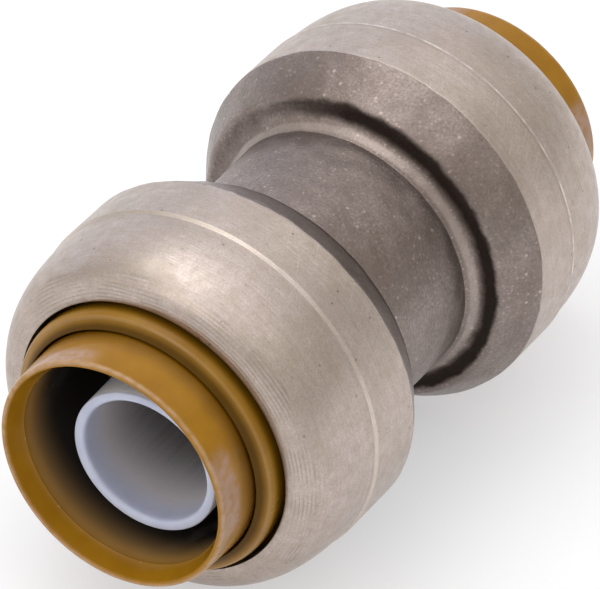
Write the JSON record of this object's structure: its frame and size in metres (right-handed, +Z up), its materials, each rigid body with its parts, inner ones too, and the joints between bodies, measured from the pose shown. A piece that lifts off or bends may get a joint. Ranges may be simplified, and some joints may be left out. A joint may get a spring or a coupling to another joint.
{
  "type": "push to connect fitting",
  "caption": "Straight push-to-connect coupling: brass body with a bulbous socket at each end, release collars that slide inwards, and plastic tube liners.",
  "frame": {"origin": "centre of the coupling, on the tube axis at the middle of the waist", "axes": "+Y along the tube axis towards the far socket, +Z up, so the near socket opens towards -Y"},
  "size_m": [0.0282, 0.05, 0.0282],
  "materials": {
    "brass": "dezincification-resistant brass, satin turned on the bulbs and rough forged on the waist",
    "collar_acetal": "glossy moulded tan acetal",
    "retainer_acetal": "glossy moulded tan acetal",
    "stainless": "bright stamped stainless spring steel",
    "protector_acetal": "dark moulded acetal",
    "seal_rubber": "lightly greased black EPDM",
    "liner_polyethylene": "satin bluish white polyethylene"
  },
  "bodies": {
    "root": {"body": "brass", "near_collar_retainer": "retainer_acetal", "near_o_ring_protector": "protector_acetal", "near_o_ring": "seal_rubber", "near_tube_liner": "liner_polyethylene", "far_collar_retainer": "retainer_acetal", "far_o_ring_protector": "protector_acetal", "far_o_ring": "seal_rubber", "far_tube_liner": "liner_polyethylene"},
    "near_grip": {"near_grab_ring": "stainless"},
    "near_collar": {"near_release_collar": "collar_acetal"},
    "far_grip": {"far_grab_ring": "stainless"},
    "far_collar": {"far_release_collar": "collar_acetal"}
  },
  "joints": [
    {"name": "near_grip_turn", "type": "hinge", "parent": "root", "child": "near_grip", "pos_m": [-0.00012, 0, -0.00009], "axis": [0, 1, 0], "continuous": true},
    {"name": "near_collar_slide", "type": "slide", "parent": "near_grip", "child": "near_collar", "axis": [0, 1, 0], "range_m": [0, 0.0016], "stiffness_N_per_m": 5000, "springref_m": -0.0004, "deforming": ["near_grab_ring"]},
    {"name": "far_grip_turn", "type": "hinge", "parent": "root", "child": "far_grip", "pos_m": [0, 0, 0], "axis": [0, 1, 0], "continuous": true},
    {"name": "far_collar_slide", "type": "slide", "parent": "far_grip", "child": "far_collar", "axis": [0, -1, 0], "range_m": [0, 0.0016], "stiffness_N_per_m": 5000, "springref_m": -0.0004, "deforming": ["far_grab_ring"]}
  ]
}
